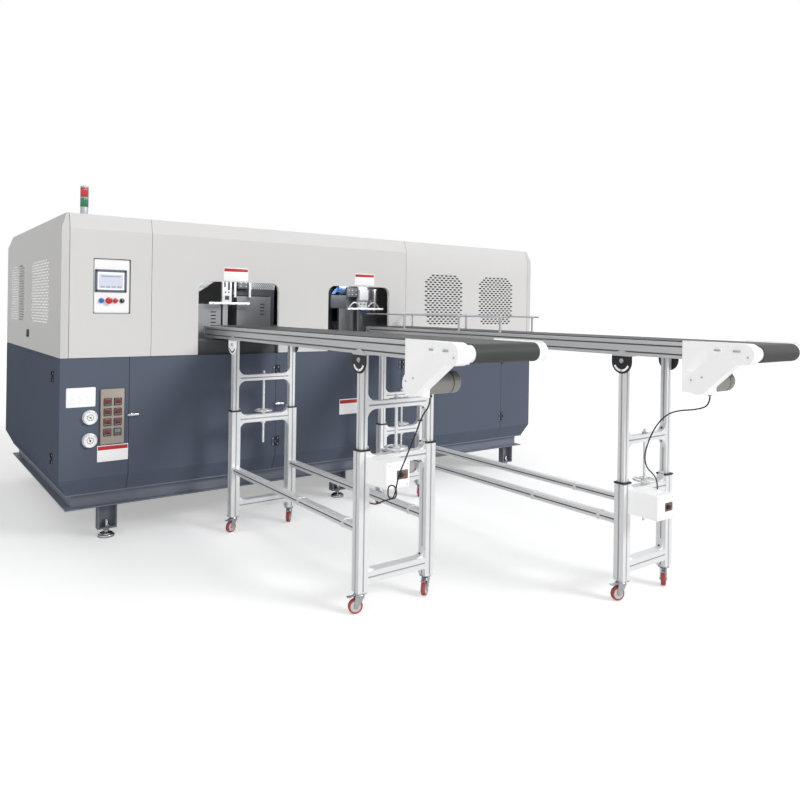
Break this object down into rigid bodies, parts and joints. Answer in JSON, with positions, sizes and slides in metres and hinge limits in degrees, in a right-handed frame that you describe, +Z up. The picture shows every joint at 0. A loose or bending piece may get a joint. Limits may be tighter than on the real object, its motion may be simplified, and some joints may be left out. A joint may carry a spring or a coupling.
{
  "type": "blow moulding machine",
  "caption": "Linear stretch blow moulding machine in a light and dark panelled casing with two wheeled outfeed belt conveyors at its windows.",
  "frame": {"origin": "floor level, middle of the footprint", "axes": "+X along the machine's front to its right end, +Y from the front to the rear, +Z up"},
  "size_m": [4.209, 5.43, 2.292],
  "materials": {
    "light_cover": "fine-textured powder coat",
    "dark_cover": "fine-textured powder coat",
    "base_paint": "satin paint",
    "frame_paint": "satin paint",
    "hinge_black": "black satin",
    "handle_chrome": "polished",
    "foot_steel": "zinc plated",
    "panel_white": "satin",
    "button_blue": "gloss",
    "button_red": "gloss",
    "knob_black": "matte",
    "panel_beige": "satin",
    "gauge_body": "polished",
    "tower_lens": "gloss",
    "oven_steel": "folded sheet",
    "clamp_paint": "satin paint",
    "mould_aluminium": "machined",
    "carriage_white": "anodised",
    "unit_steel": "machined",
    "profile_aluminium": "clear anodised",
    "belt": "matte",
    "drum_steel": "turned",
    "guard_white": "satin powder coat",
    "motor_paint": "satin paint",
    "handwheel": "painted",
    "caster": "zinc plated fork, polyurethane tread",
    "box_white": "satin powder coat",
    "cable_black": "matte"
  },
  "bodies": {
    "machine": {"left_end_cover": "light_cover", "right_end_cover": "light_cover", "front_cover_left": "light_cover", "front_cover_middle": "light_cover", "front_cover_right": "light_cover", "rear_cover": "light_cover", "roof_panel": "light_cover", "lower_rear_panel": "dark_cover", "left_lower_casing": "dark_cover", "right_lower_casing": "dark_cover", "door_hinges": "hinge_black", "base_frame": "base_paint", "levelling_feet": "foot_steel", "inner_frame": "frame_paint", "hmi_panel": "panel_white", "temperature_panel": "panel_beige", "pressure_gauges": "gauge_body", "signal_tower": "tower_lens", "preform_oven": "oven_steel", "clamp_frame": "clamp_paint", "valve_unit": "unit_steel", "casters": "caster", "control_boxes": "box_white", "first_stand": "profile_aluminium", "first_cable": "cable_black", "second_stand": "profile_aluminium", "second_cable": "cable_black"},
    "door_1": {"front_door_1": "dark_cover"},
    "door_2": {"front_door_2": "dark_cover"},
    "door_3": {"front_door_3": "dark_cover"},
    "end_door": {"left_end_door": "dark_cover"},
    "handle_1": {"door_handle_1": "handle_chrome"},
    "handle_2": {"door_handle_2": "handle_chrome"},
    "handle_3": {"door_handle_3": "handle_chrome"},
    "start_button": {"start_button": "button_blue"},
    "emergency_stop": {"emergency_stop": "button_red"},
    "stop_button": {"stop_button": "button_red"},
    "selector_knob": {"selector_knob": "knob_black"},
    "left_mould": {"mould_half_left": "mould_aluminium"},
    "right_mould": {"mould_half_right": "mould_aluminium"},
    "transfer_carriage": {"transfer_beam": "carriage_white"},
    "stretch_carriage": {"stretch_unit": "unit_steel"},
    "first_lift": {"first_uprights": "profile_aluminium", "first_bed": "profile_aluminium", "first_belt": "belt", "first_drive_guard": "guard_white", "first_gearmotor": "motor_paint"},
    "first_drive_roller": {"first_drive_drum": "drum_steel"},
    "first_tail_roller": {"first_tail_drum": "drum_steel"},
    "first_near_wheel": {"first_near_handwheel": "handwheel"},
    "first_rear_wheel": {"first_rear_handwheel": "handwheel"},
    "second_lift": {"second_uprights": "profile_aluminium", "second_bed": "profile_aluminium", "second_belt": "belt", "second_drive_guard": "guard_white", "second_gearmotor": "motor_paint"},
    "second_drive_roller": {"second_drive_drum": "drum_steel"},
    "second_tail_roller": {"second_tail_drum": "drum_steel"},
    "second_near_wheel": {"second_near_handwheel": "handwheel"},
    "second_rear_wheel": {"second_rear_handwheel": "handwheel"}
  },
  "joints": [
    {"name": "door_1_swing", "type": "hinge", "parent": "machine", "child": "door_1", "pos_m": [-0.6145, 0.481, 0.8], "axis": [0, 0, 1], "range_deg": [0, 24]},
    {"name": "door_2_swing", "type": "hinge", "parent": "machine", "child": "door_2", "pos_m": [0.5505, 0.481, 0.8], "axis": [0, 0, 1], "range_deg": [0, 9]},
    {"name": "door_3_swing", "type": "hinge", "parent": "machine", "child": "door_3", "pos_m": [1.7235, 0.481, 0.8], "axis": [0, 0, 1], "range_deg": [0, 9]},
    {"name": "end_door_swing", "type": "hinge", "parent": "machine", "child": "end_door", "pos_m": [-2.0985, 0.71, 0.8], "axis": [0, 0, 1], "range_deg": [0, 110]},
    {"name": "handle_1_turn", "type": "hinge", "parent": "door_1", "child": "handle_1", "pos_m": [-1.6565, 0.488, 0.806], "axis": [0, -1, 0], "range_deg": [0, 90]},
    {"name": "handle_2_turn", "type": "hinge", "parent": "door_2", "child": "handle_2", "pos_m": [-0.5975, 0.488, 0.806], "axis": [0, -1, 0], "range_deg": [0, 90]},
    {"name": "handle_3_turn", "type": "hinge", "parent": "door_3", "child": "handle_3", "pos_m": [0.5675, 0.488, 0.806], "axis": [0, -1, 0], "range_deg": [0, 90]},
    {"name": "start_button_press", "type": "slide", "parent": "machine", "child": "start_button", "axis": [0, 1, 0], "range_m": [0, 0.005], "stiffness_N_per_m": 500, "springref_m": -0.002},
    {"name": "emergency_stop_press", "type": "slide", "parent": "machine", "child": "emergency_stop", "axis": [0, 1, 0], "range_m": [0, 0.005], "stiffness_N_per_m": 500, "springref_m": -0.002},
    {"name": "stop_button_press", "type": "slide", "parent": "machine", "child": "stop_button", "axis": [0, 1, 0], "range_m": [0, 0.005], "stiffness_N_per_m": 500, "springref_m": -0.002},
    {"name": "selector_turn", "type": "hinge", "parent": "machine", "child": "selector_knob", "pos_m": [-1.7255, 0.488, 1.551], "axis": [0, 1, 0], "range_deg": [-45, 45]},
    {"name": "left_mould_slide", "type": "slide", "parent": "machine", "child": "left_mould", "axis": [-1, 0, 0], "range_m": [0, 0.075]},
    {"name": "right_mould_slide", "type": "slide", "parent": "machine", "child": "right_mould", "axis": [1, 0, 0], "range_m": [0, 0.075]},
    {"name": "transfer_slide", "type": "slide", "parent": "machine", "child": "transfer_carriage", "axis": [1, 0, 0], "range_m": [-0.06, 0.06]},
    {"name": "stretch_slide", "type": "slide", "parent": "machine", "child": "stretch_carriage", "axis": [0, 0, -1], "range_m": [0, 0.115]},
    {"name": "first_lift_slide", "type": "slide", "parent": "machine", "child": "first_lift", "axis": [0, 0, 1], "range_m": [0, 0.1]},
    {"name": "first_drive_turn", "type": "hinge", "parent": "first_lift", "child": "first_drive_roller", "pos_m": [-0.8375, -2.1, 1.342], "axis": [1, 0, 0], "continuous": true},
    {"name": "first_tail_turn", "type": "hinge", "parent": "first_lift", "child": "first_tail_roller", "pos_m": [-0.8375, 0.736, 1.342], "axis": [1, 0, 0], "continuous": true},
    {"name": "first_near_wheel_turn", "type": "hinge", "parent": "machine", "child": "first_near_wheel", "pos_m": [-0.8375, -1.332, 0.82], "axis": [0, 0, 1], "range_deg": [0, 9001]},
    {"name": "first_rear_wheel_turn", "type": "hinge", "parent": "machine", "child": "first_rear_wheel", "pos_m": [-0.8375, 0.228, 0.82], "axis": [0, 0, 1], "range_deg": [0, 9001]},
    {"name": "second_lift_slide", "type": "slide", "parent": "machine", "child": "second_lift", "axis": [0, 0, 1], "range_m": [0, 0.1]},
    {"name": "second_drive_turn", "type": "hinge", "parent": "second_lift", "child": "second_drive_roller", "pos_m": [0.3705, -2.667, 1.342], "axis": [1, 0, 0], "continuous": true},
    {"name": "second_tail_turn", "type": "hinge", "parent": "second_lift", "child": "second_tail_roller", "pos_m": [0.3705, 0.424, 1.342], "axis": [1, 0, 0], "continuous": true},
    {"name": "second_near_wheel_turn", "type": "hinge", "parent": "machine", "child": "second_near_wheel", "pos_m": [0.3705, -1.984, 0.625], "axis": [0, 0, 1], "range_deg": [0, 9001]},
    {"name": "second_rear_wheel_turn", "type": "hinge", "parent": "machine", "child": "second_rear_wheel", "pos_m": [0.3705, 0.238, 0.625], "axis": [0, 0, 1], "range_deg": [0, 9001]}
  ],
  "couplings": [
    {"joint": "right_mould_slide", "follows": "left_mould_slide", "ratio": 1},
    {"joint": "first_tail_turn", "follows": "first_drive_turn", "ratio": 1},
    {"joint": "first_near_wheel_turn", "follows": "first_lift_slide", "rad_per_m": 1570.8},
    {"joint": "first_rear_wheel_turn", "follows": "first_lift_slide", "rad_per_m": 1570.8},
    {"joint": "second_tail_turn", "follows": "second_drive_turn", "ratio": 1},
    {"joint": "second_near_wheel_turn", "follows": "second_lift_slide", "rad_per_m": 1570.8},
    {"joint": "second_rear_wheel_turn", "follows": "second_lift_slide", "rad_per_m": 1570.8}
  ]
}
